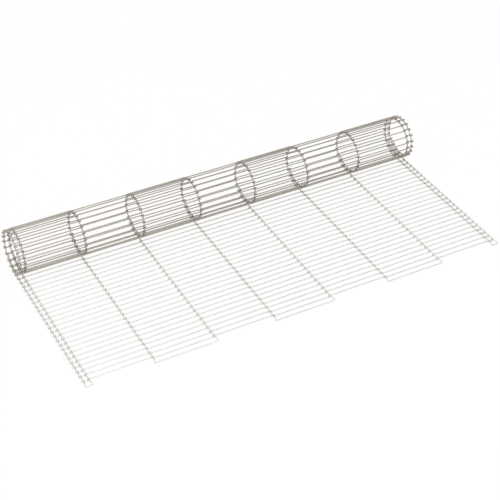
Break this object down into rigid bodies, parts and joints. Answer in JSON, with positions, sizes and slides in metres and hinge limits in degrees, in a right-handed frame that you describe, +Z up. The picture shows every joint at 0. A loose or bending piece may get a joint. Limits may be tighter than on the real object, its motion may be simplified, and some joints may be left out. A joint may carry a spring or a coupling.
{
  "type": "wire conveyor belt",
  "caption": "Ladder-type wire conveyor belt: bent steel wire strands hooked into each other with double loop edges, one end lying flat and the other rolled up.",
  "frame": {"origin": "on the floor under the middle of the belt as it lies, with its rolled end", "axes": "+X across the belt, +Y along it from the free end towards the roll, +Z up"},
  "size_m": [0.8532, 0.386, 0.0932],
  "materials": {
    "stainless_wire": "bright drawn stainless wire, unpolished"
  },
  "bodies": {
    "flat_strand_01": {"flat_strand_01": "stainless_wire"},
    "flat_strand_02": {"flat_strand_02": "stainless_wire"},
    "flat_strand_03": {"flat_strand_03": "stainless_wire"},
    "flat_strand_04": {"flat_strand_04": "stainless_wire"},
    "flat_strand_05": {"flat_strand_05": "stainless_wire"},
    "flat_strand_06": {"flat_strand_06": "stainless_wire"},
    "flat_strand_07": {"flat_strand_07": "stainless_wire"},
    "flat_strand_08": {"flat_strand_08": "stainless_wire"},
    "flat_strand_09": {"flat_strand_09": "stainless_wire"},
    "flat_strand_10": {"flat_strand_10": "stainless_wire"},
    "flat_strand_11": {"flat_strand_11": "stainless_wire"},
    "flat_strand_12": {"flat_strand_12": "stainless_wire"},
    "flat_strand_13": {"flat_strand_13": "stainless_wire"},
    "flat_strand_14": {"flat_strand_14": "stainless_wire"},
    "flat_strand_15": {"flat_strand_15": "stainless_wire"},
    "flat_strand_16": {"flat_strand_16": "stainless_wire"},
    "flat_strand_17": {"flat_strand_17": "stainless_wire"},
    "flat_strand_18": {"flat_strand_18": "stainless_wire"},
    "flat_strand_19": {"flat_strand_19": "stainless_wire"},
    "flat_strand_20": {"flat_strand_20": "stainless_wire"},
    "flat_strand_21": {"flat_strand_21": "stainless_wire"},
    "flat_strand_22": {"flat_strand_22": "stainless_wire"},
    "flat_strand_23": {"flat_strand_23": "stainless_wire"},
    "flat_strand_24": {"flat_strand_24": "stainless_wire"},
    "flat_strand_25": {"flat_strand_25": "stainless_wire"},
    "flat_strand_26": {"flat_strand_26": "stainless_wire"},
    "flat_strand_27": {"flat_strand_27": "stainless_wire"},
    "rolled_strand_01": {"rolled_strand_01": "stainless_wire"},
    "rolled_strand_02": {"rolled_strand_02": "stainless_wire"},
    "rolled_strand_03": {"rolled_strand_03": "stainless_wire"},
    "rolled_strand_04": {"rolled_strand_04": "stainless_wire"},
    "rolled_strand_05": {"rolled_strand_05": "stainless_wire"},
    "rolled_strand_06": {"rolled_strand_06": "stainless_wire"},
    "rolled_strand_07": {"rolled_strand_07": "stainless_wire"},
    "rolled_strand_08": {"rolled_strand_08": "stainless_wire"},
    "rolled_strand_09": {"rolled_strand_09": "stainless_wire"},
    "rolled_strand_10": {"rolled_strand_10": "stainless_wire"},
    "rolled_strand_11": {"rolled_strand_11": "stainless_wire"},
    "rolled_strand_12": {"rolled_strand_12": "stainless_wire"},
    "rolled_strand_13": {"rolled_strand_13": "stainless_wire"},
    "rolled_strand_14": {"rolled_strand_14": "stainless_wire"},
    "rolled_strand_15": {"rolled_strand_15": "stainless_wire"},
    "rolled_strand_16": {"rolled_strand_16": "stainless_wire"},
    "rolled_strand_17": {"rolled_strand_17": "stainless_wire"},
    "rolled_strand_18": {"rolled_strand_18": "stainless_wire"},
    "rolled_strand_19": {"rolled_strand_19": "stainless_wire"},
    "rolled_strand_20": {"rolled_strand_20": "stainless_wire"},
    "rolled_strand_21": {"rolled_strand_21": "stainless_wire"},
    "rolled_strand_22": {"rolled_strand_22": "stainless_wire"},
    "rolled_strand_23": {"rolled_strand_23": "stainless_wire"},
    "rolled_strand_24": {"rolled_strand_24": "stainless_wire"}
  },
  "joints": [
    {"name": "flat_hinge_26", "type": "hinge", "parent": "flat_strand_27", "child": "flat_strand_26", "pos_m": [0, 0.13824, 0.00104], "axis": [-1, 0, 0], "range_deg": [0, 11]},
    {"name": "flat_hinge_25", "type": "hinge", "parent": "flat_strand_26", "child": "flat_strand_25", "pos_m": [0, 0.12554, 0.00104], "axis": [-1, 0, 0], "range_deg": [0, 11]},
    {"name": "flat_hinge_24", "type": "hinge", "parent": "flat_strand_25", "child": "flat_strand_24", "pos_m": [0, 0.11284, 0.00104], "axis": [-1, 0, 0], "range_deg": [0, 11]},
    {"name": "flat_hinge_23", "type": "hinge", "parent": "flat_strand_24", "child": "flat_strand_23", "pos_m": [0, 0.10014, 0.00104], "axis": [-1, 0, 0], "range_deg": [0, 11]},
    {"name": "flat_hinge_22", "type": "hinge", "parent": "flat_strand_23", "child": "flat_strand_22", "pos_m": [0, 0.08744, 0.00104], "axis": [-1, 0, 0], "range_deg": [0, 11]},
    {"name": "flat_hinge_21", "type": "hinge", "parent": "flat_strand_22", "child": "flat_strand_21", "pos_m": [0, 0.07474, 0.00104], "axis": [-1, 0, 0], "range_deg": [0, 11]},
    {"name": "flat_hinge_20", "type": "hinge", "parent": "flat_strand_21", "child": "flat_strand_20", "pos_m": [0, 0.06204, 0.00104], "axis": [-1, 0, 0], "range_deg": [0, 11]},
    {"name": "flat_hinge_19", "type": "hinge", "parent": "flat_strand_20", "child": "flat_strand_19", "pos_m": [0, 0.04934, 0.00104], "axis": [-1, 0, 0], "range_deg": [0, 11]},
    {"name": "flat_hinge_18", "type": "hinge", "parent": "flat_strand_19", "child": "flat_strand_18", "pos_m": [0, 0.03664, 0.00104], "axis": [-1, 0, 0], "range_deg": [0, 11]},
    {"name": "flat_hinge_17", "type": "hinge", "parent": "flat_strand_18", "child": "flat_strand_17", "pos_m": [0, 0.02394, 0.00104], "axis": [-1, 0, 0], "range_deg": [0, 11]},
    {"name": "flat_hinge_16", "type": "hinge", "parent": "flat_strand_17", "child": "flat_strand_16", "pos_m": [0, 0.01124, 0.00104], "axis": [-1, 0, 0], "range_deg": [0, 11]},
    {"name": "flat_hinge_15", "type": "hinge", "parent": "flat_strand_16", "child": "flat_strand_15", "pos_m": [0, -0.00146, 0.00104], "axis": [-1, 0, 0], "range_deg": [0, 11]},
    {"name": "flat_hinge_14", "type": "hinge", "parent": "flat_strand_15", "child": "flat_strand_14", "pos_m": [0, -0.01416, 0.00104], "axis": [-1, 0, 0], "range_deg": [0, 11]},
    {"name": "flat_hinge_13", "type": "hinge", "parent": "flat_strand_14", "child": "flat_strand_13", "pos_m": [0, -0.02686, 0.00104], "axis": [-1, 0, 0], "range_deg": [0, 11]},
    {"name": "flat_hinge_12", "type": "hinge", "parent": "flat_strand_13", "child": "flat_strand_12", "pos_m": [0, -0.03956, 0.00104], "axis": [-1, 0, 0], "range_deg": [0, 11]},
    {"name": "flat_hinge_11", "type": "hinge", "parent": "flat_strand_12", "child": "flat_strand_11", "pos_m": [0, -0.05226, 0.00104], "axis": [-1, 0, 0], "range_deg": [0, 11]},
    {"name": "flat_hinge_10", "type": "hinge", "parent": "flat_strand_11", "child": "flat_strand_10", "pos_m": [0, -0.06496, 0.00104], "axis": [-1, 0, 0], "range_deg": [0, 11]},
    {"name": "flat_hinge_09", "type": "hinge", "parent": "flat_strand_10", "child": "flat_strand_09", "pos_m": [0, -0.07766, 0.00104], "axis": [-1, 0, 0], "range_deg": [0, 11]},
    {"name": "flat_hinge_08", "type": "hinge", "parent": "flat_strand_09", "child": "flat_strand_08", "pos_m": [0, -0.09036, 0.00104], "axis": [-1, 0, 0], "range_deg": [0, 11]},
    {"name": "flat_hinge_07", "type": "hinge", "parent": "flat_strand_08", "child": "flat_strand_07", "pos_m": [0, -0.10306, 0.00104], "axis": [-1, 0, 0], "range_deg": [0, 11]},
    {"name": "flat_hinge_06", "type": "hinge", "parent": "flat_strand_07", "child": "flat_strand_06", "pos_m": [0, -0.11576, 0.00104], "axis": [-1, 0, 0], "range_deg": [0, 11]},
    {"name": "flat_hinge_05", "type": "hinge", "parent": "flat_strand_06", "child": "flat_strand_05", "pos_m": [0, -0.12846, 0.00104], "axis": [-1, 0, 0], "range_deg": [0, 11]},
    {"name": "flat_hinge_04", "type": "hinge", "parent": "flat_strand_05", "child": "flat_strand_04", "pos_m": [0, -0.14116, 0.00104], "axis": [-1, 0, 0], "range_deg": [0, 11]},
    {"name": "flat_hinge_03", "type": "hinge", "parent": "flat_strand_04", "child": "flat_strand_03", "pos_m": [0, -0.15386, 0.00104], "axis": [-1, 0, 0], "range_deg": [0, 11]},
    {"name": "flat_hinge_02", "type": "hinge", "parent": "flat_strand_03", "child": "flat_strand_02", "pos_m": [0, -0.16656, 0.00104], "axis": [-1, 0, 0], "range_deg": [0, 11]},
    {"name": "flat_hinge_01", "type": "hinge", "parent": "flat_strand_02", "child": "flat_strand_01", "pos_m": [0, -0.17926, 0.00104], "axis": [-1, 0, 0], "range_deg": [0, 11]},
    {"name": "roll_hinge_01", "type": "hinge", "parent": "flat_strand_27", "child": "rolled_strand_01", "pos_m": [0, 0.15094, 0.00104], "axis": [1, 0, 0], "range_deg": [-15.37, 0]},
    {"name": "roll_hinge_02", "type": "hinge", "parent": "rolled_strand_01", "child": "rolled_strand_02", "pos_m": [0, 0.16319, 0.00441], "axis": [1, 0, 0], "range_deg": [-15.48, 0]},
    {"name": "roll_hinge_03", "type": "hinge", "parent": "rolled_strand_02", "child": "rolled_strand_03", "pos_m": [0, 0.17409, 0.01092], "axis": [1, 0, 0], "range_deg": [-15.6, 0]},
    {"name": "roll_hinge_04", "type": "hinge", "parent": "rolled_strand_03", "child": "rolled_strand_04", "pos_m": [0, 0.18285, 0.02012], "axis": [1, 0, 0], "range_deg": [-15.71, 0]},
    {"name": "roll_hinge_05", "type": "hinge", "parent": "rolled_strand_04", "child": "rolled_strand_05", "pos_m": [0, 0.18879, 0.03134], "axis": [1, 0, 0], "range_deg": [-15.83, 0]},
    {"name": "roll_hinge_06", "type": "hinge", "parent": "rolled_strand_05", "child": "rolled_strand_06", "pos_m": [0, 0.19144, 0.04376], "axis": [1, 0, 0], "range_deg": [-15.95, 0]},
    {"name": "roll_hinge_07", "type": "hinge", "parent": "rolled_strand_06", "child": "rolled_strand_07", "pos_m": [0, 0.19057, 0.05643], "axis": [1, 0, 0], "range_deg": [-16.07, 0]},
    {"name": "roll_hinge_08", "type": "hinge", "parent": "rolled_strand_07", "child": "rolled_strand_08", "pos_m": [0, 0.18624, 0.06837], "axis": [1, 0, 0], "range_deg": [-16.2, 0]},
    {"name": "roll_hinge_09", "type": "hinge", "parent": "rolled_strand_08", "child": "rolled_strand_09", "pos_m": [0, 0.17875, 0.07863], "axis": [1, 0, 0], "range_deg": [-16.33, 0]},
    {"name": "roll_hinge_10", "type": "hinge", "parent": "rolled_strand_09", "child": "rolled_strand_10", "pos_m": [0, 0.16868, 0.08637], "axis": [1, 0, 0], "range_deg": [-16.46, 0]},
    {"name": "roll_hinge_11", "type": "hinge", "parent": "rolled_strand_10", "child": "rolled_strand_11", "pos_m": [0, 0.15683, 0.09094], "axis": [1, 0, 0], "range_deg": [-16.59, 0]},
    {"name": "roll_hinge_12", "type": "hinge", "parent": "rolled_strand_11", "child": "rolled_strand_12", "pos_m": [0, 0.14417, 0.09194], "axis": [1, 0, 0], "range_deg": [-16.73, 0]},
    {"name": "roll_hinge_13", "type": "hinge", "parent": "rolled_strand_12", "child": "rolled_strand_13", "pos_m": [0, 0.13176, 0.08925], "axis": [1, 0, 0], "range_deg": [-16.88, 0]},
    {"name": "roll_hinge_14", "type": "hinge", "parent": "rolled_strand_13", "child": "rolled_strand_14", "pos_m": [0, 0.12066, 0.08308], "axis": [1, 0, 0], "range_deg": [-17.02, 0]},
    {"name": "roll_hinge_15", "type": "hinge", "parent": "rolled_strand_14", "child": "rolled_strand_15", "pos_m": [0, 0.11185, 0.07393], "axis": [1, 0, 0], "range_deg": [-17.17, 0]},
    {"name": "roll_hinge_16", "type": "hinge", "parent": "rolled_strand_15", "child": "rolled_strand_16", "pos_m": [0, 0.10613, 0.06259], "axis": [1, 0, 0], "range_deg": [-17.32, 0]},
    {"name": "roll_hinge_17", "type": "hinge", "parent": "rolled_strand_16", "child": "rolled_strand_17", "pos_m": [0, 0.10405, 0.05006], "axis": [1, 0, 0], "range_deg": [-17.48, 0]},
    {"name": "roll_hinge_18", "type": "hinge", "parent": "rolled_strand_17", "child": "rolled_strand_18", "pos_m": [0, 0.10583, 0.03749], "axis": [1, 0, 0], "range_deg": [-17.64, 0]},
    {"name": "roll_hinge_19", "type": "hinge", "parent": "rolled_strand_18", "child": "rolled_strand_19", "pos_m": [0, 0.11133, 0.02604], "axis": [1, 0, 0], "range_deg": [-17.81, 0]},
    {"name": "roll_hinge_20", "type": "hinge", "parent": "rolled_strand_19", "child": "rolled_strand_20", "pos_m": [0, 0.12006, 0.01682], "axis": [1, 0, 0], "range_deg": [-17.98, 0]},
    {"name": "roll_hinge_21", "type": "hinge", "parent": "rolled_strand_20", "child": "rolled_strand_21", "pos_m": [0, 0.13122, 0.01075], "axis": [1, 0, 0], "range_deg": [-18.16, 0]},
    {"name": "roll_hinge_22", "type": "hinge", "parent": "rolled_strand_21", "child": "rolled_strand_22", "pos_m": [0, 0.14371, 0.00845], "axis": [1, 0, 0], "range_deg": [-18.34, 0]},
    {"name": "roll_hinge_23", "type": "hinge", "parent": "rolled_strand_22", "child": "rolled_strand_23", "pos_m": [0, 0.15629, 0.0102], "axis": [1, 0, 0], "range_deg": [-18.53, 0]},
    {"name": "roll_hinge_24", "type": "hinge", "parent": "rolled_strand_23", "child": "rolled_strand_24", "pos_m": [0, 0.16766, 0.01585], "axis": [1, 0, 0], "range_deg": [-18.72, 0]}
  ],
  "couplings": [
    {"joint": "roll_hinge_02", "follows": "roll_hinge_01", "ratio": 1.0072},
    {"joint": "roll_hinge_03", "follows": "roll_hinge_01", "ratio": 1.0145},
    {"joint": "roll_hinge_04", "follows": "roll_hinge_01", "ratio": 1.0219},
    {"joint": "roll_hinge_05", "follows": "roll_hinge_01", "ratio": 1.0296},
    {"joint": "roll_hinge_06", "follows": "roll_hinge_01", "ratio": 1.0374},
    {"joint": "roll_hinge_07", "follows": "roll_hinge_01", "ratio": 1.0454},
    {"joint": "roll_hinge_08", "follows": "roll_hinge_01", "ratio": 1.0536},
    {"joint": "roll_hinge_09", "follows": "roll_hinge_01", "ratio": 1.062},
    {"joint": "roll_hinge_10", "follows": "roll_hinge_01", "ratio": 1.0705},
    {"joint": "roll_hinge_11", "follows": "roll_hinge_01", "ratio": 1.0793},
    {"joint": "roll_hinge_12", "follows": "roll_hinge_01", "ratio": 1.0883},
    {"joint": "roll_hinge_13", "follows": "roll_hinge_01", "ratio": 1.0976},
    {"joint": "roll_hinge_14", "follows": "roll_hinge_01", "ratio": 1.1071},
    {"joint": "roll_hinge_15", "follows": "roll_hinge_01", "ratio": 1.1168},
    {"joint": "roll_hinge_16", "follows": "roll_hinge_01", "ratio": 1.1268},
    {"joint": "roll_hinge_17", "follows": "roll_hinge_01", "ratio": 1.1371},
    {"joint": "roll_hinge_18", "follows": "roll_hinge_01", "ratio": 1.1476},
    {"joint": "roll_hinge_19", "follows": "roll_hinge_01", "ratio": 1.1585},
    {"joint": "roll_hinge_20", "follows": "roll_hinge_01", "ratio": 1.1696},
    {"joint": "roll_hinge_21", "follows": "roll_hinge_01", "ratio": 1.1811},
    {"joint": "roll_hinge_22", "follows": "roll_hinge_01", "ratio": 1.193},
    {"joint": "roll_hinge_23", "follows": "roll_hinge_01", "ratio": 1.2052},
    {"joint": "roll_hinge_24", "follows": "roll_hinge_01", "ratio": 1.2178}
  ]
}
